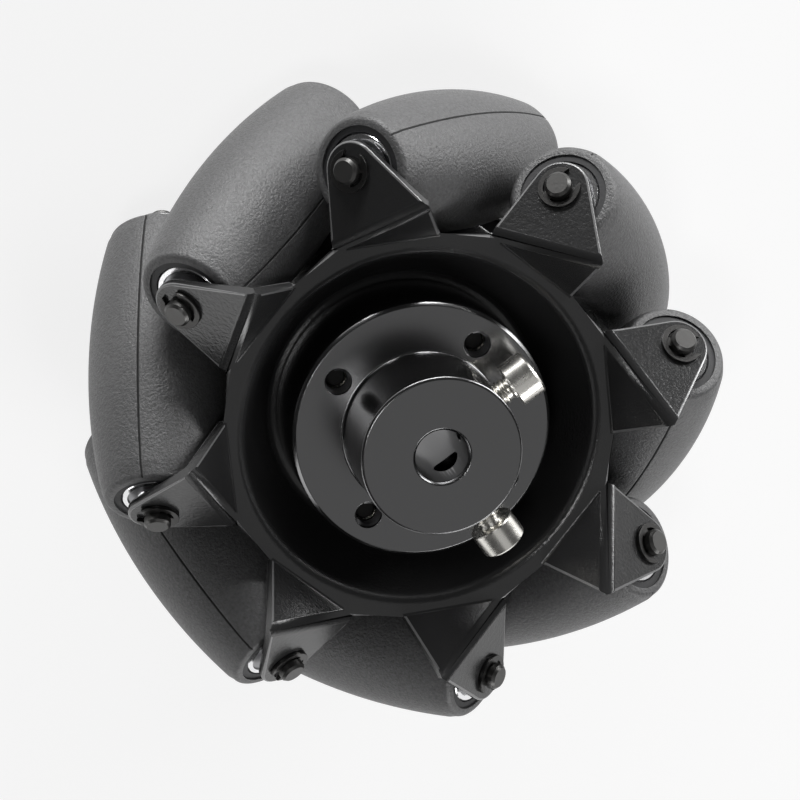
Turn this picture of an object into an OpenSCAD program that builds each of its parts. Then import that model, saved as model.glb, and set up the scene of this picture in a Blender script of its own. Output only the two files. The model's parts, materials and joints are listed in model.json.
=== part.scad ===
// Mecanum wheel: eight barrel rollers at 45 degrees between two pressed plates,
// with a shaft coupling that clamps onto a round motor shaft.
// The wheel's axis is +Z and passes through the origin. The wheel lies on the ear
// tips of its outer plate, on z = 0, with the coupling on top.
// Right-handed: each roller's upper end is turned anticlockwise, seen from above.

/* [Wheel] */
// Diameter over the rollers
wheel_d = 96.5; // [94:0.5:104]

/* [Rollers] */
// Gap between neighbouring tyres, measured between their axles' nearest points
tyre_gap = 0.5; // [0.4:0.1:1.5]
// Length of a rubber tyre
tyre_l = 45.8; // [42:0.1:46.5]
// Rounding of a tyre's end edges
tyre_edge = 0.9; // [0.4:0.1:1.3]
// How far the core's ends sit inside the tyre's ends
end_recess = 0.3; // [0.1:0.1:0.8]
// Outer diameter of the core that the tyre is bonded to
core_d = 13; // [12.4:0.1:14]
// Bore of the core between its two bearings
core_bore_d = 6; // [5:0.1:8]

/* [Bearings] */
// Outer diameter of a roller bearing
bearing_od = 11; // [10:0.5:11.6]
// Width of a roller bearing
bearing_w = 4; // [3:0.5:5]
// Width of a bearing's inner ring, measured along the radius
inner_ring_w = 1; // [0.8:0.1:1.4]
// Width of a bearing's outer ring, measured along the radius
outer_ring_w = 1.1; // [0.7:0.1:1.3]
// Depth of the shield below the bearing's face
shield_depth = 0.25; // [0.1:0.05:0.5]

/* [Axle pins] */
// Diameter of an axle pin
pin_d = 4; // [3.5:0.1:4.4]
// Length of pin that stands out of each ear
pin_stick = 2; // [1.7:0.1:4]
// Diameter at the bottom of the retaining groove
groove_d = 3.2; // [2.6:0.1:3.3]
// Chamfer on the pin's ends
pin_chamfer = 0.4; // [0.2:0.05:0.7]
// Outer diameter of a spacing washer
washer_d = 6; // [5.4:0.1:7]
// Thickness of a retaining clip
clip_t = 0.6; // [0.4:0.1:1]
// Outer diameter of a retaining clip
clip_d = 6.4; // [6:0.1:8]
// Width of a retaining clip's band, measured along the radius
clip_band = 0.8; // [0.6:0.1:1.1]
// Width of the three teeth of a retaining clip
clip_tooth_w = 1.5; // [1:0.1:2]

/* [Plates] */
// Thickness of the pressed sheet
sheet = 1.5; // [1.2:0.1:1.8]
// Gap between a tyre's end and the ear beside it
ear_gap = 0.85; // [0.7:0.05:2]
// Height of an axle's centre above the ring, at the ear's outer face
ring_drop = 0.5; // [0:0.1:1]
// Gap between the ring's corners and the end of a tyre
ring_clear = 2.2; // [1.8:0.05:2.8]
// Width of the ring, from the bowl's mouth to its corners
ring_w = 4; // [3.7:0.1:5]
// How much nearer the axis the ear's fold ends than it starts
fold_inset = 1.3; // [0.8:0.1:1.4]
// Angle from the roller's centre to the inner end of the ear's fold
fold_angle = 5.3; // [3:0.1:8]
// Height of the ear's peak above the ring
ear_h = 9.8; // [8.5:0.1:11]
// Sharp corner taken off each peak, where the wheel stands when it lies flat
peak_flat = 0.7; // [0.5:0.1:0.9]
// Distance of the sharp peak outside the ring's corners
peak_out = 5.3; // [4.5:0.1:6]
// Diameter of the ear's round tip
ear_tip_d = 8.8; // [7.6:0.1:9.6]
// Outside radius of the ridge where the ear is folded
ridge_r = 2; // [1.8:0.1:3.4]
// Fillet between the ring and the fold
fold_fillet = 0.8; // [0.4:0.1:1]
// Outside radius at the bowl's mouth
mouth_bend_r = 2; // [1.9:0.1:2.4]
// Inside radius at the bowl's floor
floor_bend_r = 1.2; // [0.6:0.1:2]
// Diameter of the hole in the middle of each plate
centre_hole_d = 16.5; // [12:0.1:20]

/* [Shaft coupling] */
// Bore for the shaft
bore_d = 8; // [6:0.1:9]
// Diameter of the coupling's flange
flange_d = 39.5; // [38.5:0.1:41]
// Thickness of the coupling's flange
flange_t = 14.2; // [12:0.1:16]
// Diameter of the coupling's boss
boss_d = 24.2; // [22:0.1:24.8]
// Height of the boss above the flange
boss_h = 13.5; // [10:0.1:18]
// Fillet at the foot of the boss
boss_fillet = 0.4; // [0.2:0.1:1]
// Chamfer on the coupling's outer edges
coupling_chamfer = 0.5; // [0.2:0.1:1]
// Thickness of the spacer between the two plates
spacer_t = 5.3; // [4:0.1:7]
// Diameter of the spacer
spacer_d = 38; // [36:0.1:40]

/* [Screws] */
// Thread diameter of the screws
screw_d = 4; // [3:0.1:4.2]
// Diameter of a screw's head
head_d = 7; // [6.4:0.1:7.4]
// Height of a screw's head
head_h = 4; // [3:0.1:4.6]
// Width across flats of a screw's socket
socket_w = 3; // [2:0.1:3.4]
// Depth of a screw's socket
socket_depth = 2; // [1:0.1:2.4]
// Diameter of the circle of flange screws
bolt_pcd = 30.5; // [30:0.1:31.2]
// Depth of the flange screws' tips below the flange's face
tip_depth = 3.2; // [1:0.1:5]
// Length of a clamp screw below its head
clamp_screw_l = 10; // [9.2:0.1:12]
// How far the second clamp screw is backed out from the first one's place
clamp_backed_out = 1.4; // [0:0.1:3]

/* [Fits] */
// Radial clearance between a turning bearing and its pin
running_fit = 0.03; // [0.02:0.01:0.06]
// Radial clearance of pins, clips and screws in their holes
hole_fit = 0.05; // [0.02:0.01:0.1]
// Radial clearance between a bearing and its seat in the core
seat_fit = 0.02; // [0.01:0.01:0.05]
// Radial clearance between a tyre and its core
bond_fit = 0.02; // [0.01:0.01:0.05]
// Clearance along the axle between pieces that face each other
face_fit = 0.05; // [0.03:0.01:0.1]
// Radial clearance of the flange screws in the plates and the spacer
bolt_fit = 0.2; // [0.1:0.05:0.4]
// Gap round the coupling's flange where it seats in the bowl
flange_fit = 0.2; // [0.1:0.05:0.5]
// Gap between the first clamp screw's tip and the bore
tip_gap = 0.3; // [0.1:0.05:0.6]

/* [Hidden] */
$fn = 96;

rollers = 8;
pitch = 360 / rollers;
// Angle between a roller's axle and the wheel's axis
tilt = 45;
flange_screws_n = 4;
// The coupling's holes lie midway between two rollers
bolt_angle = pitch / 2;
clamp_angles = [0, -90];
clip_tooth_angles = [65, 180, 295];
// A cut reaches this far past the face that it opens
past = 1;

// Derived places are rounded to a micrometre, so that what lies in one plane stays in it
function micron(v) = round(1000 * v) / 1000;

// Rollers, measured along and from their own axle
wheel_r = wheel_d / 2;
core_r = core_d / 2;
tyre_bore_r = core_r + bond_fit;
// Two neighbouring axles, for an axle_r of 1: their directions, the step between their
// middles, how far apart they pass each other and how far that is from their middles
axle_dir = [0, sin(tilt), cos(tilt)];
next_dir = [-sin(pitch) * sin(tilt), cos(pitch) * sin(tilt), cos(tilt)];
next_step = [cos(pitch) - 1, sin(pitch), 0];
pass_apart = abs(next_step * unit(cross(axle_dir, next_dir)));
pass_along = next_step * axle_dir / (1 + axle_dir * next_dir);
// The axles lie where tyres that touch the wheel's cylinder keep tyre_gap from each
// other there. That is a quadratic equation, and its three terms are these
axle_r2 = pow(1 + pass_apart / 2, 2) + pow(pass_along * sin(tilt), 2);
axle_r1 = tyre_gap * (1 + pass_apart / 2);
axle_r0 = pow(wheel_r, 2) - pow(tyre_gap / 2, 2);
axle_r = micron((axle_r1 + sqrt(pow(axle_r1, 2) + 4 * axle_r2 * axle_r0)) / (2 * axle_r2));
tyre_r = wheel_r - axle_r;
tyre_half = tyre_l / 2;
core_half = tyre_half - end_recess;
// A tyre's profile touches the wheel's cylinder over its whole length
tyre_end_r = sqrt(pow(wheel_r, 2) - pow(tyre_half * sin(tilt), 2)) - axle_r;
sag = tyre_r - tyre_end_r;
arc_r = (pow(tyre_half, 2) + pow(sag, 2)) / (2 * sag);
arc_x = tyre_r - arc_r;
edge_y = tyre_half - tyre_edge;
edge_x = arc_x + sqrt(pow(arc_r - tyre_edge, 2) - pow(edge_y, 2));
arc_half = edge_y * arc_r / (arc_r - tyre_edge);

// Axle hardware
pin_r = pin_d / 2;
groove_r = groove_d / 2;
ear_in = tyre_half + ear_gap;
ear_out = ear_in + sheet;
pin_half = ear_out + pin_stick;
clip_z = ear_out + face_fit;
washer_t = ear_in - core_half - 2 * face_fit;

// Plates, measured from the wheel's middle plane
ring_z = micron(ear_out * cos(tilt) - ring_drop);
ring_r = micron(norm([axle_r, ring_z]) - tyre_end_r - ring_clear);
mouth_r = ring_r - ring_w;
half_h = ring_z + ear_h;
seat_z = spacer_t / 2 + sheet;
bowl_depth = ring_z - seat_z;
flange_r = flange_d / 2;
floor_r = flange_r + flange_fit + floor_bend_r;
wall_turn = atan(bowl_depth / (mouth_r - floor_r));

// Ears, in the frame of their roller: x away from the wheel's axis, z along the axle
function in_roller(p) = [
    p[0] - axle_r,
    p[1] * cos(tilt) - p[2] * sin(tilt),
    p[1] * sin(tilt) + p[2] * cos(tilt)
];
function unit(v) = v / norm(v);
// Points along an arc about c, from one angle to another
function arc(c, r, from, to) =
    [for (k = [0:bend_steps]) let (a = from + (to - from) * k / bend_steps)
        c + r * [cos(a), sin(a)]];
// A point of the ear's outer face, at radius r and height z of the wheel
function on_ear(r, z) =
    let (t = (ear_out - z * cos(tilt)) / sin(tilt))
    in_roller([sqrt(r * r - t * t), t, z]);
// The matrix that puts x, y and z onto three directions, with the origin at o
function frame(o, x, y, z) = [
    [x[0], y[0], z[0], o[0]],
    [x[1], y[1], z[1], o[1]],
    [x[2], y[2], z[2], o[2]]
];
fold_r = ring_r - fold_inset;
fold_outer = on_ear(ring_r, ring_z);
fold_inner = in_roller([fold_r * cos(fold_angle), fold_r * sin(fold_angle), ring_z]);
peak = on_ear(ring_r + peak_out, ring_z + ear_h + peak_flat);
ridge_dir = unit(peak - fold_outer);
ridge_l = norm(peak - fold_outer);
ear_dir = [-ridge_dir[1], ridge_dir[0], 0];
fold_span = fold_inner - fold_outer;
web_dir = unit(fold_span - (fold_span * ridge_dir) * ridge_dir);
web_normal = cross(ridge_dir, web_dir);
ridge_turn = 180 - acos(ear_dir * web_dir);
up = in_roller([axle_r, 0, 1]);
fold_dir = unit(fold_span);
fold_turn = acos(abs(web_normal * up));
// The web runs on past the fold until its underside meets the ring's
web_extra = sheet * tan(fold_turn / 2);
// Parts of one sheet overlap by this much where they join, or by this angle in a ridge
sheet_lap = 0.15;
ridge_lap = 2;
// Flat steps that a bend in the sheet is made of
bend_steps = 10;

// Coupling and screws, in the wheel's frame
mid_z = half_h;
boss_r = boss_d / 2;
bore_r = bore_d / 2;
screw_r = screw_d / 2;
head_r = head_d / 2;
bolt_r = bolt_pcd / 2;
coupling_z = mid_z + seat_z;
boss_z = coupling_z + flange_t;
coupling_l = flange_t + boss_h;
flange_screw_l = 2 * seat_z + flange_t - tip_depth;
clamp_seat_r = bore_r + tip_gap + clamp_screw_l;

function numbered(name) = [for (i = [1:rollers]) str(name, "_", i)];

// Places what stands on z along the axle of roller i
module on_axle(i) {
    rotate([0, 0, pitch * (i - 1)])
        translate([axle_r, 0, mid_z])
        rotate([-tilt, 0, 0])
        children();
}

// Repeats what stands on z at both ends of an axle, facing outwards
module both_ends() {
    children();
    rotate([180, 0, 0]) children();
}

// Section of the bent sheet at the ridge: the outer faces of the ear, along x, and of
// the web would meet at the origin
module ridge_section(reach) {
    centre = ridge_r * [tan(ridge_turn / 2), 1];
    along_web = reach * [-cos(ridge_turn), sin(ridge_turn)];
    into_web = sheet * [sin(ridge_turn), cos(ridge_turn)];
    polygon(concat(
        [[reach, 0]],
        arc(centre, ridge_r, 270, 270 - ridge_turn),
        [along_web, along_web + into_web],
        arc(centre, ridge_r - sheet, 270 - ridge_turn, 270),
        [[reach, sheet]]
    ));
}

// All that lies on the ear's side of the ridge, and a little past the bend's middle
module ear_side(reach) {
    half_turn = ridge_turn / 2 + ridge_lap;
    line = reach * [sin(half_turn), cos(half_turn)];
    translate(ridge_r * [tan(ridge_turn / 2), 1])
        polygon([-line, line, line + [reach, 0], -line + [reach, 0]]);
}

// The same for the web's side
module web_side(reach) {
    mirror([cos(ridge_turn / 2), -sin(ridge_turn / 2)]) ear_side(reach);
}

// The ear's face: its straight edges run from the ridge to the round tip
module ear_outline() {
    tip_r = ear_tip_d / 2;
    function tangent_point(p, side) =
        let (a = atan2(p[1], p[0]) + side * acos(tip_r / norm([p[0], p[1]])))
        [tip_r * cos(a), tip_r * sin(a)];
    circle(tip_r);
    polygon([
        [fold_outer[0], fold_outer[1]],
        [peak[0], peak[1]],
        tangent_point(peak, 1),
        tangent_point(fold_outer, -1)
    ]);
}

// The triangular web between the ring and the ridge, in the web's plane
module web_outline() {
    tip = [ridge_l, 0];
    inner = [fold_span * ridge_dir, fold_span * web_dir];
    // Both sides of the triangle are lengthened by the same share
    fold_distance = ridge_l * inner[1] / norm(inner);
    share = 1 + (web_extra - sheet_lap / 2) / fold_distance;
    polygon([tip, tip * (1 - share), tip + share * (inner - tip)]);
}

// Section of the fillet in the corner where the web rises from the ring
module fillet_section() {
    tangent = fold_fillet * tan(fold_turn / 2);
    open = 180 - fold_turn;
    sunk = 0.01; // the fillet is sunk this far, so that it meets both faces at an angle
    translate(-sunk / cos(fold_turn / 2) * [cos(open / 2), sin(open / 2)]) difference() {
        polygon([
            [tangent, 0],
            [tangent, fold_fillet],
            tangent * [cos(open), sin(open)],
            -fold_fillet / 2 * [cos(open / 2), sin(open / 2)]
        ]);
        translate([tangent, fold_fillet]) circle(fold_fillet);
    }
}

// Carries a section of the ridge's bend along the ridge
module along_ridge() {
    multmatrix(frame((fold_outer + peak) / 2, ear_dir, [0, 0, -1], -ridge_dir))
        linear_extrude(2 * ridge_l, center = true) children();
}

// One ear with its web, folded from one piece of sheet
module ear() {
    depth = 2 * ridge_r;
    reach = 2 * ridge_l;
    mid_fold = (fold_outer + fold_inner) / 2;
    // The bent sheet, cut to the ear's outline on one side of the bend and to the
    // web's outline on the other
    intersection() {
        along_ridge() ridge_section(reach);
        union() {
            intersection() {
                along_ridge() ear_side(reach);
                translate([0, 0, ear_out - depth]) linear_extrude(depth + past) ear_outline();
            }
            intersection() {
                along_ridge() web_side(reach);
                multmatrix(frame(fold_outer, ridge_dir, web_dir, web_normal))
                    linear_extrude(2 * depth, center = true) web_outline();
            }
        }
    }
    // The fillet stops where the ridge starts to round
    intersection() {
        multmatrix(frame(mid_fold, cross(fold_dir, up), up, -fold_dir))
            linear_extrude(2 * ridge_l, center = true) fillet_section();
        multmatrix(frame(fold_outer, ridge_dir, web_dir, web_normal))
            linear_extrude(2 * depth, center = true) intersection() {
                web_outline();
                translate([-ridge_l, ridge_r * tan(ridge_turn / 2)])
                    square([3 * ridge_l, 3 * ridge_l]);
            }
    }
}

// Section of the bowl, from the ring down to the floor's central hole
module bowl_section() {
    mouth = [mouth_r + mouth_bend_r * tan(wall_turn / 2), ring_z - mouth_bend_r];
    floor = [floor_r - floor_bend_r * tan(wall_turn / 2), seat_z + floor_bend_r];
    under_ring = mouth[0] + 2 * sheet_lap;
    hole_r = centre_hole_d / 2;
    polygon(concat(
        [[under_ring, ring_z]],
        arc(mouth, mouth_bend_r, 90, 90 + wall_turn),
        arc(floor, floor_bend_r, 270 + wall_turn, 270),
        [[hole_r, seat_z], [hole_r, seat_z - sheet]],
        arc(floor, floor_bend_r + sheet, 270, 270 + wall_turn),
        arc(mouth, mouth_bend_r - sheet, 90 + wall_turn, 90),
        [[under_ring, ring_z - sheet]]
    ));
}

// The flat ring, which runs on under each web to just short of the web's underside
module ring_outline() {
    corner_angle = asin((ear_out - ring_z * cos(tilt)) / sin(tilt) / ring_r);
    inner = fold_r * [cos(fold_angle), sin(fold_angle)];
    outer = ring_r * [cos(corner_angle), sin(corner_angle)];
    along = (outer - inner) / norm(outer - inner);
    tuck = 0.9 * web_extra;
    under_web = tuck * [along[1], -along[0]];
    corners = [
        inner + sheet_lap * along,
        inner + tuck * along + under_web,
        outer - 2 * tuck * along + under_web,
        outer - sheet_lap * along
    ];
    difference() {
        polygon([
            for (i = [0:rollers - 1], p = corners)
                let (a = pitch * i)
                [p[0] * cos(a) - p[1] * sin(a), p[0] * sin(a) + p[1] * cos(a)]
        ]);
        circle(mouth_r + mouth_bend_r * tan(wall_turn / 2) + sheet_lap);
    }
}

// One pressed plate, above the wheel's middle plane
module pressed_plate() {
    difference() {
        union() {
            rotate_extrude() bowl_section();
            translate([0, 0, ring_z - sheet]) linear_extrude(sheet) ring_outline();
            for (i = [0:rollers - 1])
                rotate([0, 0, pitch * i])
                    translate([axle_r, 0, 0])
                    rotate([-tilt, 0, 0])
                    ear();
        }
        // The axle holes
        for (i = [0:rollers - 1])
            rotate([0, 0, pitch * i])
                translate([axle_r, 0, 0])
                rotate([-tilt, 0, 0])
                translate([0, 0, ear_in - past])
                cylinder(r = pin_r + hole_fit, h = sheet + 2 * past);
        // The flange screws' holes
        for (i = [0:flange_screws_n - 1])
            rotate([0, 0, bolt_angle + 90 * i])
                translate([bolt_r, 0, seat_z - sheet - past])
                cylinder(r = screw_r + bolt_fit, h = sheet + 2 * past);
        // The flats on the peaks
        translate([0, 0, half_h]) cylinder(r = wheel_r, h = 2 * past);
    }
}

module inner_plate() {
    color("#17181a") translate([0, 0, mid_z]) pressed_plate();
}

// The same pressing, turned over about a line midway between two rollers
module outer_plate() {
    color("#17181a")
        translate([0, 0, mid_z])
        rotate([0, 0, bolt_angle])
        rotate([180, 0, 0])
        rotate([0, 0, -bolt_angle])
        pressed_plate();
}

module centre_spacer() {
    color("#3a3c3f") translate([0, 0, mid_z - spacer_t / 2]) difference() {
        cylinder(d = spacer_d, h = spacer_t);
        translate([0, 0, -past]) cylinder(d = centre_hole_d, h = spacer_t + 2 * past);
        for (i = [0:flange_screws_n - 1])
            rotate([0, 0, bolt_angle + 90 * i])
                translate([bolt_r, 0, -past])
                cylinder(r = screw_r + bolt_fit, h = spacer_t + 2 * past);
    }
}

// Half section of the coupling: the flange below, the boss above
module coupling_section() {
    c = coupling_chamfer;
    polygon([
        [bore_r, 0],
        [flange_r - c, 0],
        [flange_r, c],
        [flange_r, flange_t - c],
        [flange_r - c, flange_t],
        [boss_r, flange_t],
        [boss_r, coupling_l - c],
        [boss_r - c, coupling_l],
        [bore_r + c, coupling_l],
        [bore_r, coupling_l - c]
    ]);
    // The fillet at the boss's foot
    translate([boss_r, flange_t]) difference() {
        translate([-past, -past]) square(past + boss_fillet);
        translate([boss_fillet, boss_fillet]) circle(boss_fillet);
    }
}

module shaft_coupling() {
    color("#2b2c2e") difference() {
        translate([0, 0, coupling_z]) rotate_extrude() coupling_section();
        for (i = [0:flange_screws_n - 1])
            rotate([0, 0, bolt_angle + 90 * i])
                translate([bolt_r, 0, coupling_z - past])
                cylinder(r = screw_r + hole_fit, h = flange_t + 2 * past);
        for (a = clamp_angles)
            translate([0, 0, boss_z + boss_h / 2])
                rotate([0, 90, a])
                cylinder(r = screw_r + hole_fit, h = boss_r + past);
    }
}

// A socket head cap screw: the head's seat is at z = 0 and the shank runs up from it
module cap_screw(l) {
    edge = 0.3; // chamfer on the head
    tip = 0.5; // chamfer on the thread's end
    difference() {
        rotate_extrude() polygon([
            [0, -head_h],
            [head_r - edge, -head_h],
            [head_r, edge - head_h],
            [head_r, 0],
            [screw_r, 0],
            [screw_r, l - tip],
            [screw_r - tip, l],
            [0, l]
        ]);
        translate([0, 0, -head_h - past])
            cylinder(d = socket_w / cos(30), h = socket_depth + past, $fn = 6);
    }
}

module flange_screws() {
    color("#d9d6cf") for (i = [0:flange_screws_n - 1])
        rotate([0, 0, bolt_angle + 90 * i])
            translate([bolt_r, 0, mid_z - seat_z])
            cap_screw(flange_screw_l);
}

module clamp_screws() {
    color("#d9d6cf") for (k = [0:len(clamp_angles) - 1])
        translate([0, 0, boss_z + boss_h / 2])
            rotate([0, 0, clamp_angles[k]])
            translate([clamp_seat_r + k * clamp_backed_out, 0, 0])
            rotate([0, -90, 0])
            cap_screw(clamp_screw_l);
}

// A retaining clip's outline: an open ring with three teeth that reach into the groove
module clip_outline() {
    // The mouth is a little narrower than the groove, so that the clip snaps on
    mouth = 0.9 * groove_d;
    inner_r = clip_d / 2 - clip_band;
    difference() {
        circle(d = clip_d);
        circle(inner_r);
        translate([0, -mouth / 2]) square([clip_d, mouth]);
    }
    for (a = clip_tooth_angles)
        rotate([0, 0, a])
            translate([groove_r + hole_fit, -clip_tooth_w / 2])
            square([inner_r + clip_band / 2 - groove_r, clip_tooth_w]);
}

module retaining_clips() {
    color("#33312e") for (i = [1:rollers])
        on_axle(i) both_ends()
            translate([0, 0, clip_z]) linear_extrude(clip_t) clip_outline();
}

module axle_washers() {
    color("#a9abad") for (i = [1:rollers])
        on_axle(i) both_ends()
            translate([0, 0, core_half + face_fit]) difference() {
                cylinder(d = washer_d, h = washer_t);
                translate([0, 0, -past]) cylinder(r = pin_r + hole_fit, h = washer_t + 2 * past);
            }
}

module axle_pin(i) {
    groove_end = clip_z + clip_t + face_fit;
    color("#2a2928") on_axle(i) rotate_extrude() polygon([
        for (side = [-1, 1])
            let (half = [
                [0, pin_half],
                [pin_r - pin_chamfer, pin_half],
                [pin_r, pin_half - pin_chamfer],
                [pin_r, groove_end],
                [groove_r, groove_end],
                [groove_r, ear_out],
                [pin_r, ear_out]
            ])
            for (k = [0:len(half) - 1])
                let (p = side < 0 ? half[k] : half[len(half) - 1 - k])
                [p[0], -side * p[1]]
    ]);
}

// Half section of a tyre: a large arc runs into the small arcs of its end edges
module tyre_section() intersection() {
    union() {
        intersection() {
            translate([arc_x, 0]) circle(arc_r, $fn = 720);
            translate([0, -arc_half]) square([2 * tyre_r, 2 * arc_half]);
        }
        for (side = [-1, 1])
            translate([edge_x, side * edge_y]) circle(tyre_edge, $fn = 48);
        translate([0, -tyre_half]) square([edge_x, tyre_l]);
    }
    // the end roundings stop at the bore, whatever the wall there
    translate([tyre_bore_r, -tyre_l]) square([tyre_r, 2 * tyre_l]);
}

module tyre(i) {
    color("#1b1b1b") on_axle(i) rotate_extrude() tyre_section();
}

module roller_core(i) {
    color("#222326") on_axle(i) difference() {
        cylinder(r = core_r, h = 2 * core_half, center = true);
        cylinder(d = core_bore_d, h = tyre_l, center = true);
        both_ends() translate([0, 0, core_half - bearing_w])
            cylinder(r = bearing_od / 2 + seat_fit, h = bearing_w + past);
    }
}

// Half section of a sealed bearing, with its shields below its rings' faces
module bearing_section() {
    bearing_bore_r = pin_r + running_fit;
    bearing_r = bearing_od / 2;
    shield_in = bearing_bore_r + inner_ring_w;
    shield_w = bearing_r - outer_ring_w - shield_in;
    difference() {
        translate([bearing_bore_r, 0]) square([bearing_r - bearing_bore_r, bearing_w]);
        for (y = [-past, bearing_w - shield_depth])
            translate([shield_in, y]) square([shield_w, shield_depth + past * (y < 0 ? 1 : 2)]);
    }
}

module bearings(i) {
    color("#c9cbcd") on_axle(i) both_ends()
        translate([0, 0, core_half - bearing_w]) rotate_extrude() bearing_section();
}

inner_plate();
outer_plate();
centre_spacer();
shaft_coupling();
flange_screws();
clamp_screws();
retaining_clips();
axle_washers();
for (i = [1:rollers]) {
    axle_pin(i);
    tyre(i);
    roller_core(i);
    bearings(i);
}
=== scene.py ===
import json
import math

import bmesh
import bpy
from mathutils import Matrix, Vector, noise


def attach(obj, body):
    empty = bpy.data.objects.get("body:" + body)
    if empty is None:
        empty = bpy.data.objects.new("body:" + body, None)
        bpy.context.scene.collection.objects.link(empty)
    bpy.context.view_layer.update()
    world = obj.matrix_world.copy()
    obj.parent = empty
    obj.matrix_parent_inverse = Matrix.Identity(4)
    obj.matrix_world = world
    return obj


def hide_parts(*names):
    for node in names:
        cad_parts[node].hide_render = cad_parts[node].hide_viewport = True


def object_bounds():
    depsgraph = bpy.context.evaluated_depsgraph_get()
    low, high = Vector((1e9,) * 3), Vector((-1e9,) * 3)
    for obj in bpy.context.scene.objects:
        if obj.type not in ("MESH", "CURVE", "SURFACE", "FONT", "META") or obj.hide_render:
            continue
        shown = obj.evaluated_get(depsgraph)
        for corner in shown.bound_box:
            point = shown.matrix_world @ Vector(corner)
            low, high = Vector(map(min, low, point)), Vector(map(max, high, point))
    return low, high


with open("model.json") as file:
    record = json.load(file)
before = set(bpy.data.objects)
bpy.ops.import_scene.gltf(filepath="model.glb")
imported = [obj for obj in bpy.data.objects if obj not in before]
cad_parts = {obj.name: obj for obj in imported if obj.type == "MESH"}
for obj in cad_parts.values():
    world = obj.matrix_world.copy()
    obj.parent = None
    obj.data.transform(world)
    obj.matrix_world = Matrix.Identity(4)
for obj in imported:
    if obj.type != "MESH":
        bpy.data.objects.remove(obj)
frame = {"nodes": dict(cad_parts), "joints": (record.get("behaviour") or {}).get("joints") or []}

cad_low, cad_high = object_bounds()
nodes = frame["nodes"]
joints = sorted(frame["joints"], key=lambda joint: joint["name"])


# ---- Pressed plates ----------------------------------------------------------
# Two identical pressings of 1.5 mm steel sheet, each with a dished bowl, a flat
# ring and eight folded ears, sprayed gloss black. The paint has a fine orange
# peel, and it rounds the sheared edges, so those catch the light. The rounded
# edges are also painted a paler grey, a painted highlight.

def add_nodes(material, *kinds):
    """Adds shader nodes of these kinds to a material and returns them."""
    return [material.node_tree.nodes.new("ShaderNode" + kind) for kind in kinds]


def finish(name, colour, roughness, metallic=0.0, **more):
    """A material with one Principled shader; returns the material and the shader."""
    material = bpy.data.materials.new(name)
    material.use_nodes = True
    shader = material.node_tree.nodes["Principled BSDF"]
    shader.inputs["Base Color"].default_value = (*colour, 1)
    shader.inputs["Roughness"].default_value = roughness
    shader.inputs["Metallic"].default_value = metallic
    for socket, value in more.items():
        shader.inputs[socket.replace("_", " ")].default_value = value
    return material, shader


def grain_group():
    """Fine irregular grain: a mask from 0 to 1, and the normal it gives a surface."""
    tree = bpy.data.node_groups.new("fine_grain", "ShaderNodeTree")
    for name, value in (("Size", 0.0004), ("Depth", 0.00001)):
        socket = tree.interface.new_socket(
            name, in_out="INPUT", socket_type="NodeSocketFloat"
        )
        socket.default_value = value
    tree.interface.new_socket("Mask", in_out="OUTPUT", socket_type="NodeSocketFloat")
    tree.interface.new_socket("Normal", in_out="OUTPUT", socket_type="NodeSocketVector")
    new, link = tree.nodes.new, tree.links.new
    given, given_out = new("NodeGroupInput"), new("NodeGroupOutput")
    place, cloud = new("ShaderNodeTexCoord"), new("ShaderNodeTexNoise")
    scale, spread = new("ShaderNodeMath"), new("ShaderNodeMapRange")
    bump = new("ShaderNodeBump")
    scale.operation = "DIVIDE"
    scale.inputs[0].default_value = 1
    cloud.inputs["Detail"].default_value = 3
    cloud.inputs["Roughness"].default_value = 0.6
    spread.inputs["From Min"].default_value = 0.25
    spread.inputs["From Max"].default_value = 0.75
    link(given.outputs["Size"], scale.inputs[1])
    link(scale.outputs[0], cloud.inputs["Scale"])
    link(place.outputs["Object"], cloud.inputs["Vector"])
    link(cloud.outputs["Fac"], spread.inputs["Value"])
    link(spread.outputs["Result"], given_out.inputs["Mask"])
    link(spread.outputs["Result"], bump.inputs["Height"])
    link(given.outputs["Depth"], bump.inputs["Distance"])
    link(bump.outputs["Normal"], given_out.inputs["Normal"])
    return tree


fine_grain = grain_group()


def add_grain(material, shader, size, depth, smoothest, roughest):
    """Places the grain in a material, as its normal and as a range of roughness."""
    grain, spread = add_nodes(material, "Group", "MapRange")
    grain.node_tree = fine_grain
    grain.inputs["Size"].default_value = size
    grain.inputs["Depth"].default_value = depth
    spread.inputs["To Min"].default_value = smoothest
    spread.inputs["To Max"].default_value = roughest
    link = material.node_tree.links.new
    link(grain.outputs["Normal"], shader.inputs["Normal"])
    link(grain.outputs["Mask"], spread.inputs["Value"])
    link(spread.outputs["Result"], shader.inputs["Roughness"])


def add_mottle(material, shader, size, dark, light):
    """Colour that varies with the grain, between a dark and a light tone."""
    grain, mix = add_nodes(material, "Group", "Mix")
    grain.node_tree = fine_grain
    grain.inputs["Size"].default_value = size
    mix.data_type = "RGBA"
    mix.inputs[6].default_value = (*dark, 1)
    mix.inputs[7].default_value = (*light, 1)
    link = material.node_tree.links.new
    link(grain.outputs["Mask"], mix.inputs[0])
    link(mix.outputs[2], shader.inputs["Base Color"])


def dress(piece, *materials):
    """Puts these materials in a piece's slots, in order.

    The slots are filled and not cleared, because clearing them would give every
    face the first material.
    """
    slots = piece.data.materials
    for index, material in enumerate(materials):
        if index < len(slots):
            slots[index] = material
        else:
            slots.append(material)


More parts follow.
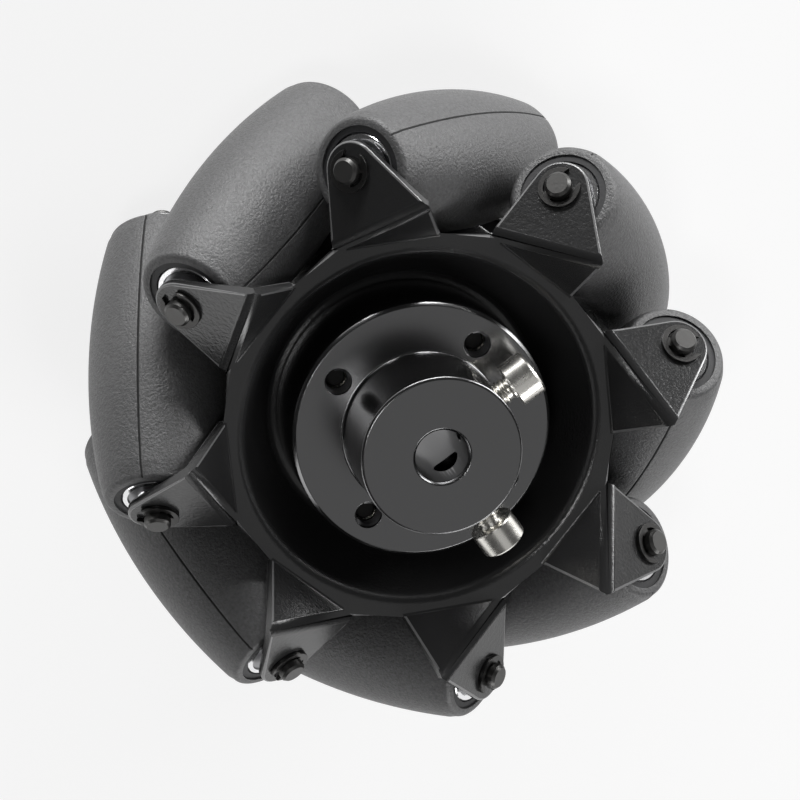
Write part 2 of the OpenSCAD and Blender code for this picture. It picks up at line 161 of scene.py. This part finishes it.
def finished_copy(node, rounding):
    """A copy of a CAD solid with its facets merged and its sharp edges rounded.

    The roundings take the copy's second material. The solid's lowest and highest
    edges stay sharp, so that it still stands where it did.
    """
    weld = 4e-6
    flat, sharp, crease = math.radians(0.6), math.radians(30), math.radians(52)
    bm = bmesh.new()
    bm.from_mesh(nodes[node].data)
    bmesh.ops.remove_doubles(bm, verts=bm.verts, dist=weld)
    bmesh.ops.dissolve_degenerate(bm, edges=bm.edges, dist=weld)
    bmesh.ops.dissolve_limit(bm, angle_limit=flat, verts=bm.verts, edges=bm.edges)
    bottom = min(vert.co.z for vert in bm.verts) + 1e-5
    top = max(vert.co.z for vert in bm.verts) - 1e-5
    shortest = 1.5 * rounding
    rounded = bmesh.ops.bevel(
        bm, geom=[
            edge for edge in bm.edges
            if edge.calc_face_angle(0) > sharp
            and edge.calc_length() > shortest
            and all(bottom < vert.co.z < top for vert in edge.verts)
        ],
        offset=rounding, segments=2, profile=0.5, affect="EDGES", material=-1,
    )
    for face in rounded["faces"]:
        face.material_index = 1
    for face in bm.faces:
        face.smooth = True
    for edge in bm.edges:
        edge.smooth = edge.calc_face_angle(0) < crease
    mesh = bpy.data.meshes.new(node + "_finished")
    bm.to_mesh(mesh)
    bm.free()
    piece = bpy.data.objects.new(node + "_finished", mesh)
    bpy.context.scene.collection.objects.link(piece)
    normals = piece.modifiers.new("flat faces stay flat", "WEIGHTED_NORMAL")
    normals.keep_sharp = True
    return piece


plate_rounding = 0.00036

black_paint, paint_shader = finish(
    "gloss_black_paint", (0.024, 0.024, 0.0245), 0.22, Specular_IOR_Level=0.6
)
add_grain(black_paint, paint_shader, 0.0005, 0.00002, 0.17, 0.25)

# The rounded sheared edges get a paler grey: a painted highlight, for the light that they catch
edge_highlight_paint, edge_highlight_shader = finish(
    "painted_highlight_edges", (0.17, 0.17, 0.172), 0.24, Specular_IOR_Level=1.0
)
add_grain(edge_highlight_paint, edge_highlight_shader, 0.0006, 0.000003, 0.12, 0.3)

for name in ("inner_plate", "outer_plate"):
    plate = finished_copy(name, plate_rounding)
    # The roundings take the paler paint, a painted highlight
    dress(plate, black_paint, edge_highlight_paint)
    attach(plate, "hub")
    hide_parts(name)


# ---- Centre spacer -----------------------------------------------------------
# A turned disc between the two bowls' floors, black anodised. Only its edge
# shows, deep between the plates.

spacer_finish, spacer_shader = finish("anodised_spacer", (0.03, 0.03, 0.032), 0.45, 0.6)
add_grain(spacer_finish, spacer_shader, 0.0003, 0.000003, 0.4, 0.5)
dress(nodes["centre_spacer"], spacer_finish)


# ---- Shaft coupling ----------------------------------------------------------
# A flange and boss turned from aluminium bar and black anodised to a satin
# grey-black. The faces keep fine concentric tool marks. The bore was reamed and
# the four flange holes were tapped after anodising, so those show bare metal.

coupling_colour = (0.17, 0.17, 0.172)
bare_metal = (0.14, 0.14, 0.143)
bare_radius = 0.0042
tool_mark_pitch = 0.0003
tool_mark_depth = 0.0000015
coupling_rounding = 0.00008


def add_turning_marks(material, shader, pitch, depth):
    """Fine rings round the wheel's axis, as a lathe tool leaves them."""
    place, wave, bump = add_nodes(material, "TexCoord", "TexWave", "Bump")
    wave.wave_type = "RINGS"
    wave.rings_direction = "Z"
    wave.inputs["Scale"].default_value = 0.3 / pitch
    wave.inputs["Distortion"].default_value = 0.4
    wave.inputs["Detail"].default_value = 2
    bump.inputs["Distance"].default_value = depth
    link = material.node_tree.links.new
    link(place.outputs["Object"], wave.inputs["Vector"])
    link(wave.outputs["Fac"], bump.inputs["Height"])
    link(bump.outputs["Normal"], shader.inputs["Normal"])


def add_bare_bore(material, shader, radius, colour, bare, bare_roughness):
    """Bare metal within this radius of the wheel's axis, and the colour beyond it."""
    place, flatten, length, inside = add_nodes(
        material, "TexCoord", "VectorMath", "VectorMath", "Math"
    )
    flatten.operation = "MULTIPLY"
    flatten.inputs[1].default_value = (1, 1, 0)
    length.operation = "LENGTH"
    inside.operation = "LESS_THAN"
    inside.inputs[1].default_value = radius
    mix, rough = add_nodes(material, "Mix", "MapRange")
    mix.data_type = "RGBA"
    mix.inputs[6].default_value = (*colour, 1)
    mix.inputs[7].default_value = (*bare, 1)
    rough.inputs["To Min"].default_value = shader.inputs["Roughness"].default_value
    rough.inputs["To Max"].default_value = bare_roughness
    link = material.node_tree.links.new
    link(place.outputs["Object"], flatten.inputs[0])
    link(flatten.outputs["Vector"], length.inputs[0])
    link(length.outputs["Value"], inside.inputs[0])
    link(inside.outputs[0], mix.inputs[0])
    link(inside.outputs[0], rough.inputs["Value"])
    link(mix.outputs[2], shader.inputs["Base Color"])
    link(rough.outputs["Result"], shader.inputs["Roughness"])


coupling_finish, coupling_shader = finish(
    "anodised_coupling", coupling_colour, 0.24, 1.0
)
add_turning_marks(coupling_finish, coupling_shader, tool_mark_pitch, tool_mark_depth)
add_bare_bore(
    coupling_finish, coupling_shader, bare_radius, coupling_colour, bare_metal, 0.3
)
coupling = finished_copy("shaft_coupling", coupling_rounding)
dress(coupling, coupling_finish, coupling_finish)
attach(coupling, "hub")
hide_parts("shaft_coupling")


def thread_ridge(bm, crest, root, pitch, start, turns):
    """A right-handed thread about z, from crest to root radius, with closed ends."""
    section = [
        (root, start - 0.44 * pitch), (crest, start - 0.07 * pitch),
        (crest, start + 0.07 * pitch), (root, start + 0.44 * pitch),
    ]
    line = [bm.verts.new((x, 0, z)) for x, z in section]
    edges = [bm.edges.new(pair) for pair in zip(line, line[1:] + line[:1])]
    steps_a_turn = 24
    steps = round(steps_a_turn * turns)
    spun = bmesh.ops.spin(
        bm, geom=line + edges, cent=(0, 0, 0), axis=(0, 0, 1),
        dvec=(0, 0, pitch * turns / steps), angle=math.tau * turns, steps=steps,
    )
    last = [item for item in spun["geom_last"] if isinstance(item, bmesh.types.BMEdge)]
    bmesh.ops.contextual_create(bm, geom=edges)
    bmesh.ops.contextual_create(bm, geom=last)


def placed_copies(name, bm, places, *materials):
    """One piece that holds a copy of a shape at each place, with its curves smooth."""
    crease = math.radians(35)
    bmesh.ops.recalc_face_normals(bm, faces=bm.faces)
    for face in bm.faces:
        face.smooth = True
    for edge in bm.edges:
        edge.smooth = edge.calc_face_angle(0) < crease
    single = bpy.data.meshes.new(name + "_single")
    bm.to_mesh(single)
    bm.clear()
    for place in places:
        copy = single.copy()
        copy.transform(place)
        bm.from_mesh(copy)
        bpy.data.meshes.remove(copy)
    mesh = bpy.data.meshes.new(name)
    bm.to_mesh(mesh)
    bm.free()
    bpy.data.meshes.remove(single)
    piece = bpy.data.objects.new(name, mesh)
    bpy.context.scene.collection.objects.link(piece)
    dress(piece, *materials)
    return piece


bolt_circle_radius = 0.01525
bolt_turns = [math.radians(22.5 + 90 * step) for step in range(4)]
flange_face = 0.045504
tapped_radius = 0.00205
tapped_crest = 0.00168
thread_pitch = 0.0007
thread_sink = 0.00004  # the ridge's root lies this far inside the hole's wall
tapped_start = -0.0028
tapped_turns = 3.2

cut_thread, cut_thread_shader = finish("cut_thread", bare_metal, 0.35, 1.0)
add_grain(cut_thread, cut_thread_shader, 0.0003, 0.000003, 0.25, 0.4)
bm = bmesh.new()
thread_ridge(
    bm, tapped_crest, tapped_radius + thread_sink, thread_pitch, tapped_start,
    tapped_turns
)
tapped = placed_copies(
    "tapped_threads", bm, [
        Matrix.Translation((
            bolt_circle_radius * math.cos(turn), bolt_circle_radius * math.sin(turn),
            flange_face,
        )) for turn in bolt_turns
    ], cut_thread
)
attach(tapped, "hub")


# ---- Screws ------------------------------------------------------------------
# M4 socket head cap screws, bright nickel plated. Four hold the coupling from
# the outer plate's side, and two stand in the boss and clamp the shaft.

head_radius = 0.0035
head_height = 0.004
head_edge = 0.0003
socket_radius = 0.0015 / math.cos(math.radians(30))
socket_depth = 0.002
thread_crest = 0.00198
thread_root = 0.00163
thread_runout = 0.0004
tip_chamfer = 0.0003
shaded_tip_length = 0.0004
ridge_sink = 0.00006
thread_lead = 0.0002
thread_ends = 0.0005

nickel, nickel_shader = finish("bright_nickel", (0.9, 0.88, 0.83), 0.27, 1.0)
add_grain(nickel, nickel_shader, 0.0012, 0.000002, 0.24, 0.3)
# The tips are painted dark: painted shade, for the shade deep in their holes
shaded_tip_steel, shaded_tip_shader = finish(
    "painted_shade_screw_tip", (0.02, 0.0195, 0.019), 0.6, Specular_IOR_Level=0.2
)
add_grain(shaded_tip_steel, shaded_tip_shader, 0.0003, 0.000004, 0.5, 0.7)


def cap_screw(length, threaded):
    """A cap screw: its seat at z = 0, its shank up z, threaded over its last part."""
    bm = bmesh.new()
    section = [
        (head_radius - head_edge, -head_height),
        (head_radius, head_edge - head_height),
        (head_radius, -head_edge / 2), (head_radius - head_edge / 2, 0),
        (thread_crest, 0), (thread_crest, length - threaded - thread_runout),
        (thread_root, length - threaded), (thread_root, length - tip_chamfer),
        (thread_root - tip_chamfer, length), (0, length),
    ]
    line = [bm.verts.new((x, 0, z)) for x, z in section]
    edges = [bm.edges.new(pair) for pair in zip(line, line[1:])]
    bmesh.ops.spin(
        bm, geom=line + edges, cent=(0, 0, 0), axis=(0, 0, 1), dvec=(0, 0, 0),
        angle=math.tau, steps=48, use_merge=True,
    )
    bmesh.ops.remove_doubles(bm, verts=bm.verts, dist=1e-6)
    rim = [edge for edge in bm.edges if edge.is_boundary]
    mouth = bmesh.ops.create_circle(
        bm, segments=6, radius=socket_radius,
        matrix=Matrix.Translation((0, 0, -head_height))
    )["verts"]
    floor = bmesh.ops.create_circle(
        bm, segments=6, radius=socket_radius, cap_ends=True,
        matrix=Matrix.Translation((0, 0, socket_depth - head_height))
    )["verts"]
    mouth_edges = list({edge for vert in mouth for edge in vert.link_edges})
    floor_edges = list({edge for vert in floor for edge in vert.link_edges})
    bmesh.ops.bridge_loops(bm, edges=mouth_edges + floor_edges)
    bmesh.ops.bridge_loops(bm, edges=mouth_edges + rim)
    for face in bm.faces:
        # The faces at the tip take the dark tip material: painted shade
        face.material_index = face.calc_center_median().z > length - shaded_tip_length
    turns = (threaded - thread_ends) / thread_pitch
    thread_ridge(
        bm, thread_crest, thread_root - ridge_sink, thread_pitch,
        length - threaded + thread_lead, turns
    )
    return bm


def screw_place(turn, radius, height, tip):
    """A screw's place: its seat at this turn, radius and height, its tip this way."""
    seat = Vector((radius * math.cos(turn), radius * math.sin(turn), height))
    return Matrix.Translation(seat) @ Vector((0, 0, 1)).rotation_difference(
        Vector(tip)
    ).to_matrix().to_4x4()


flange_screw_length = 0.0193
flange_screw_threaded = 0.006
flange_screw_seat = 0.023004
flange_screws = placed_copies(
    "flange_cap_screws", cap_screw(flange_screw_length, flange_screw_threaded),
    [
        screw_place(turn, bolt_circle_radius, flange_screw_seat, (0, 0, 1))
        for turn in bolt_turns
    ],
    nickel, shaded_tip_steel
)
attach(flange_screws, "hub")
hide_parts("flange_screws")

clamp_screw_length = 0.01
clamp_screw_threaded = 0.0094
clamp_height = 0.052254
# The two stand a quarter turn apart, and the second is backed out
clamp_seats = ((0, 0.0143), (-math.pi / 2, 0.0157))
clamp_screws = placed_copies(
    "clamp_cap_screws", cap_screw(clamp_screw_length, clamp_screw_threaded),
    [
        screw_place(turn, radius, clamp_height, (-math.cos(turn), -math.sin(turn), 0))
        for turn, radius in clamp_seats
    ],
    nickel, shaded_tip_steel
)
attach(clamp_screws, "hub")
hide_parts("clamp_screws")


# ---- Axle pins, clips and washers --------------------------------------------
# Blued steel pins through the ears, each held by two spring steel clips in
# grooves. Ground steel washers keep the rollers off the ears.

dark_steel, pin_shader = finish("blued_steel", (0.09, 0.089, 0.087), 0.4, 0.9)
add_grain(dark_steel, pin_shader, 0.0003, 0.000004, 0.3, 0.46)
clip_steel, clip_shader = finish("spring_steel", (0.06, 0.059, 0.058), 0.3, 0.9)
add_grain(clip_steel, clip_shader, 0.00025, 0.000003, 0.25, 0.4)
ground_steel, ground_shader = finish("ground_steel", (0.72, 0.72, 0.73), 0.2, 1.0)
add_grain(ground_steel, ground_shader, 0.0002, 0.000001, 0.16, 0.28)
clip_rounding = 0.00006
clips = finished_copy("retaining_clips", clip_rounding)
dress(clips, clip_steel, clip_steel)
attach(clips, "hub")
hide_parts("retaining_clips")
dress(nodes["axle_washers"], ground_steel)


# ---- Rollers -----------------------------------------------------------------
# Barrel-shaped rubber tyres bonded to moulded cores, with a sealed ball bearing
# in each end. The rubber is matt with a fine grain, and the mould has left two thin
# parting lines along each tyre, opposite each other, with a nick here and there.

rubber, rubber_shader = finish(
    "moulded_rubber", (0.085, 0.085, 0.086), 0.45, Specular_IOR_Level=0.8
)
add_grain(rubber, rubber_shader, 0.0004, 0.00009, 0.36, 0.54)
add_mottle(
    rubber, rubber_shader, 0.00055, (0.055, 0.055, 0.0555), (0.112, 0.112, 0.114)
)
seam_rubber, seam_shader = finish("seam_rubber", (0.015, 0.015, 0.0152), 0.8)
add_grain(seam_rubber, seam_shader, 0.0003, 0.00005, 0.7, 0.9)
core_plastic, core_shader = finish("moulded_core", (0.025, 0.025, 0.027), 0.5)
add_grain(core_plastic, core_shader, 0.0004, 0.00001, 0.45, 0.6)

wheel_radius = (cad_high.x - cad_low.x) / 2
tyre_length = 0.0458
tyre_edge = 0.0009
core_radius = 0.00652
seam_inner_radius = core_radius + 0.001
seam_half_width = 0.00016
seam_depth = 0.0003
nick_size = 0.0016
nick_depth = 1.5  # times the seam's own depth
# The turn of each roller about its own axle, in degrees: where its parting line lies
seam_turns = (20, 326, 75, 300, 110, 40, 155, 95)


def roller_place(joint):
    """Puts z on a roller's axle and x away from the wheel's axis."""
    centre = Vector(joint["pos_m"])
    along = Vector(joint["axis"]).normalized()
    out = Vector((centre.x, centre.y, 0)).normalized()
    side = along.cross(out)
    turned = Matrix((out, side, along)).transposed().to_4x4()
    return Matrix.Translation(centre) @ turned


def tyre_mesh(axle_radius):
    """A tyre about z, spun from its section, with two parting lines pressed in."""
    crease = math.radians(40)
    barrel_steps, edge_steps, end_gap = 24, 5, 0.0003
    bm = bmesh.new()
    half = tyre_length / 2
    barrel = [
        (math.sqrt(wheel_radius**2 - z * z / 2) - axle_radius, z)
        for z in [
            half * step / barrel_steps for step in range(-barrel_steps, barrel_steps + 1)
        ]
    ]
    end_radius, inner_z = barrel[0][0], half - tyre_edge
    section = [(core_radius, -half)]
    for step in range(edge_steps + 1):
        turn = math.radians(90 * step / edge_steps)
        section.append((
            end_radius - tyre_edge * (1 - math.sin(turn)),
            -inner_z - tyre_edge * math.cos(turn),
        ))
    section += [point for point in barrel if abs(point[1]) < inner_z - end_gap]
    for step in range(edge_steps, -1, -1):
        turn = math.radians(90 * step / edge_steps)
        section.append((
            end_radius - tyre_edge * (1 - math.sin(turn)),
            inner_z + tyre_edge * math.cos(turn),
        ))
    section.append((core_radius, half))
    line = [bm.verts.new((x, 0, z)) for x, z in section]
    edges = [bm.edges.new(pair) for pair in zip(line, line[1:])]
    edges.append(bm.edges.new((line[-1], line[0])))
    bmesh.ops.spin(
        bm, geom=line + edges, cent=(0, 0, 0), axis=(0, 0, 1), dvec=(0, 0, 0),
        angle=math.tau, steps=90, use_merge=True, use_duplicate=False,
    )
    bmesh.ops.remove_doubles(bm, verts=bm.verts, dist=1e-6)
    for offset in (-2, -1, 1, 2):
        bmesh.ops.bisect_plane(
            bm, geom=bm.verts[:] + bm.edges[:] + bm.faces[:], dist=1e-7,
            plane_co=(0, offset * seam_half_width, 0), plane_no=(0, 1, 0),
        )
    bmesh.ops.recalc_face_normals(bm, faces=bm.faces)
    for vert in bm.verts:
        radius = math.hypot(vert.co.x, vert.co.y)
        if abs(vert.co.y) < seam_half_width / 2 and radius > seam_inner_radius:
            nick = noise.noise(Vector((vert.co.x, 0, vert.co.z)) / nick_size)
            vert.co.x *= 1 - seam_depth * (1 + nick_depth * max(nick, 0)) / radius
    for face in bm.faces:
        face.smooth = True
        middle = face.calc_center_median()
        in_seam = abs(middle.y) < seam_half_width
        outside = math.hypot(middle.x, middle.y) > seam_inner_radius
        face.material_index = in_seam and outside
    for edge in bm.edges:
        edge.smooth = edge.calc_face_angle(0) < crease
    mesh = bpy.data.meshes.new("tyre")
    bm.to_mesh(mesh)
    bm.free()
    return mesh


bearing_faces = tyre_length / 2 - 0.0003
bearing_width = 0.004
bearing_bore = 0.00203
bearing_outer = 0.0055
bearing_edge = 0.00015
shield_inner = 0.00303
shield_outer = 0.0044
shield_sink = 0.00025
bearing_steel, bearing_shader = finish("polished_rings", (0.85, 0.85, 0.86), 0.14, 1.0)
add_grain(bearing_steel, bearing_shader, 0.0002, 0.000001, 0.1, 0.2)
shield_steel, shield_shader = finish("bearing_shield", (0.3, 0.3, 0.31), 0.32, 1.0)
add_grain(shield_steel, shield_shader, 0.0002, 0.000002, 0.26, 0.4)


def sealed_bearing():
    """A sealed bearing about z at the tyre's end: bright rings, a sunk grey shield."""
    bm = bmesh.new()
    width, edge = bearing_width, bearing_edge
    shield = width - shield_sink
    section = [
        (bearing_bore, 0), (bearing_bore, width - edge), (bearing_bore + edge, width),
        (shield_inner - edge, width), (shield_inner, width - edge),
        (shield_inner, shield), (shield_outer, shield),
        (shield_outer, width - edge), (shield_outer + edge, width),
        (bearing_outer - 2 * edge, width), (bearing_outer, width - 2 * edge),
        (bearing_outer, 0),
    ]
    line = [bm.verts.new((x, 0, z)) for x, z in section]
    edges = [bm.edges.new(pair) for pair in zip(line, line[1:] + line[:1])]
    bmesh.ops.spin(
        bm, geom=line + edges, cent=(0, 0, 0), axis=(0, 0, 1), dvec=(0, 0, 0),
        angle=math.tau, steps=64, use_merge=True,
    )
    bmesh.ops.remove_doubles(bm, verts=bm.verts, dist=1e-6)
    for face in bm.faces:
        middle = face.calc_center_median()
        if shield_inner < math.hypot(middle.x, middle.y) < shield_outer:
            face.material_index = abs(middle.z - shield) < 1e-6
    bmesh.ops.translate(bm, vec=(0, 0, bearing_faces - width), verts=bm.verts)
    return bm


axle_radius = math.hypot(*joints[0]["pos_m"][:2])
plain_tyre = tyre_mesh(axle_radius)

for joint, seam_turn in zip(joints, seam_turns):
    body = joint["child"]
    number = body.split("_")[-1]
    turned = Matrix.Rotation(math.radians(seam_turn), 4, "Z")
    mesh = plain_tyre.copy()
    mesh.transform(roller_place(joint) @ turned)
    tyre = bpy.data.objects.new("rubber_tyre_" + number, mesh)
    bpy.context.scene.collection.objects.link(tyre)
    dress(tyre, rubber, seam_rubber)
    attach(tyre, body)
    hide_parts("tyre_" + number)
    dress(nodes["roller_core_" + number], core_plastic)
    place = roller_place(joint)
    pair = placed_copies(
        "bearing_pair_" + number, sealed_bearing(),
        [place, place @ Matrix.Rotation(math.pi, 4, "X")],
        bearing_steel, shield_steel
    )
    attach(pair, body)
    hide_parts("bearings_" + number)
    dress(nodes["axle_pin_" + number], dark_steel)


# ---- Floor, light and camera -------------------------------------------------
# A plain pale floor under seven soft lamps: long ones round the wheel, which draw
# the edges of the ears and the barrels, a weak wide one in front, and a small one
# for the glint on the bright screws.

floor_size = 3
floor_seen = 0.9  # how pale the floor is to the camera and in the metal
floor_lit = 0.3  # how much light it throws back on the wheel
glow_share = 0.68
glow_strength = 1.14

floor_mesh = bpy.data.meshes.new("floor")
bm = bmesh.new()
bmesh.ops.create_grid(bm, x_segments=1, y_segments=1, size=floor_size)
bm.to_mesh(floor_mesh)
bm.free()
floor = bpy.data.objects.new("floor", floor_mesh)
floor.location.z = cad_low.z
bpy.context.scene.collection.objects.link(floor)
floor_finish, floor_shader = finish(
    "pale_floor", [floor_seen] * 3, 1.0, Specular_IOR_Level=0.0
)
ray, mirrored, seen, tone = add_nodes(floor_finish, "LightPath", "Math", "Math", "Mix")
glow, share, blend = add_nodes(floor_finish, "Emission", "Math", "MixShader")
mirrored.operation = seen.operation = "MAXIMUM"
tone.data_type = "RGBA"
tone.inputs[6].default_value = (floor_lit, floor_lit, floor_lit, 1)
tone.inputs[7].default_value = (floor_seen, floor_seen, floor_seen, 1)
share.operation = "MULTIPLY"
share.inputs[1].default_value = glow_share
glow.inputs["Strength"].default_value = glow_strength
link = floor_finish.node_tree.links.new
link(ray.outputs["Is Camera Ray"], mirrored.inputs[0])
link(ray.outputs["Is Glossy Ray"], mirrored.inputs[1])
link(mirrored.outputs[0], seen.inputs[0])
link(ray.outputs["Is Transmission Ray"], seen.inputs[1])
link(seen.outputs[0], tone.inputs[0])
link(tone.outputs[2], floor_shader.inputs["Base Color"])
link(seen.outputs[0], share.inputs[0])
link(share.outputs[0], blend.inputs["Fac"])
link(floor_shader.outputs[0], blend.inputs[1])
link(glow.outputs[0], blend.inputs[2])
link(
    blend.outputs[0], floor_finish.node_tree.nodes["Material Output"].inputs["Surface"]
)
dress(floor, floor_finish)

world = bpy.data.worlds.new("studio")
bpy.context.scene.world = world
world.use_nodes = True
sky = world.node_tree.nodes["Background"]
sky.inputs["Color"].default_value = (1, 1, 1, 1)
sky.inputs["Strength"].default_value = 0.05

# The view's right, up and back directions, and its distance from the wheel's middle
middle = (cad_low + cad_high) / 2
view_right = Vector((0.8061, -0.5526, 0.2117))
view_up = Vector((0.5918, 0.7550, -0.2824))
view_back = view_right.cross(view_up).normalized()
view_up = view_back.cross(view_right)
view_distance = 0.5034
lamp_distance = 0.9
glint_distance = 0.6


def studio_place(turn, rise, distance):
    """A lamp's place: this turn from the view's right, raised towards the camera."""
    turn, rise = math.radians(turn), math.radians(rise)
    return middle + distance * (
        math.cos(rise) * (math.cos(turn) * view_right + math.sin(turn) * view_up)
        + math.sin(rise) * view_back
    )


def soft_light(name, place, width, height, power):
    """A rectangular area light at a place, turned to face the wheel's middle."""
    lamp = bpy.data.lights.new(name, "AREA")
    lamp.shape = "RECTANGLE"
    lamp.size = width
    lamp.size_y = height
    lamp.energy = power
    light = bpy.data.objects.new(name, lamp)
    light.location = place
    light.rotation_euler = (middle - place).to_track_quat("-Z", "Y").to_euler()
    bpy.context.scene.collection.objects.link(light)


soft_light("top", studio_place(90, 21, lamp_distance), 0.7, 0.15, 8.6)
soft_light("upper_left", studio_place(135, 20, lamp_distance), 0.5, 0.3, 0.8)
soft_light("upper_right", studio_place(32, 8, lamp_distance), 0.5, 0.22, 5)
soft_light("lower_right", studio_place(302, 6, lamp_distance), 0.5, 0.4, 3.4)
soft_light("lower_left", studio_place(225, 6, lamp_distance), 0.5, 0.25, 0.9)
soft_light("front", middle + lamp_distance * Vector((0, -0.35, 0.94)), 0.6, 0.6, 0.38)
soft_light("glint", studio_place(250, 74, glint_distance), 0.1, 0.1, 0.4)

camera = bpy.data.cameras.new("camera")
camera.lens = 147
camera.clip_start = 0.01
viewer = bpy.data.objects.new("camera", camera)
bpy.context.scene.collection.objects.link(viewer)
viewer.matrix_world = Matrix.Translation(middle + view_distance * view_back) @ Matrix(
    (view_right.normalized(), view_up.normalized(), view_back)
).transposed().to_4x4()
bpy.context.scene.camera = viewer
bpy.context.scene.view_settings.view_transform = "Standard"
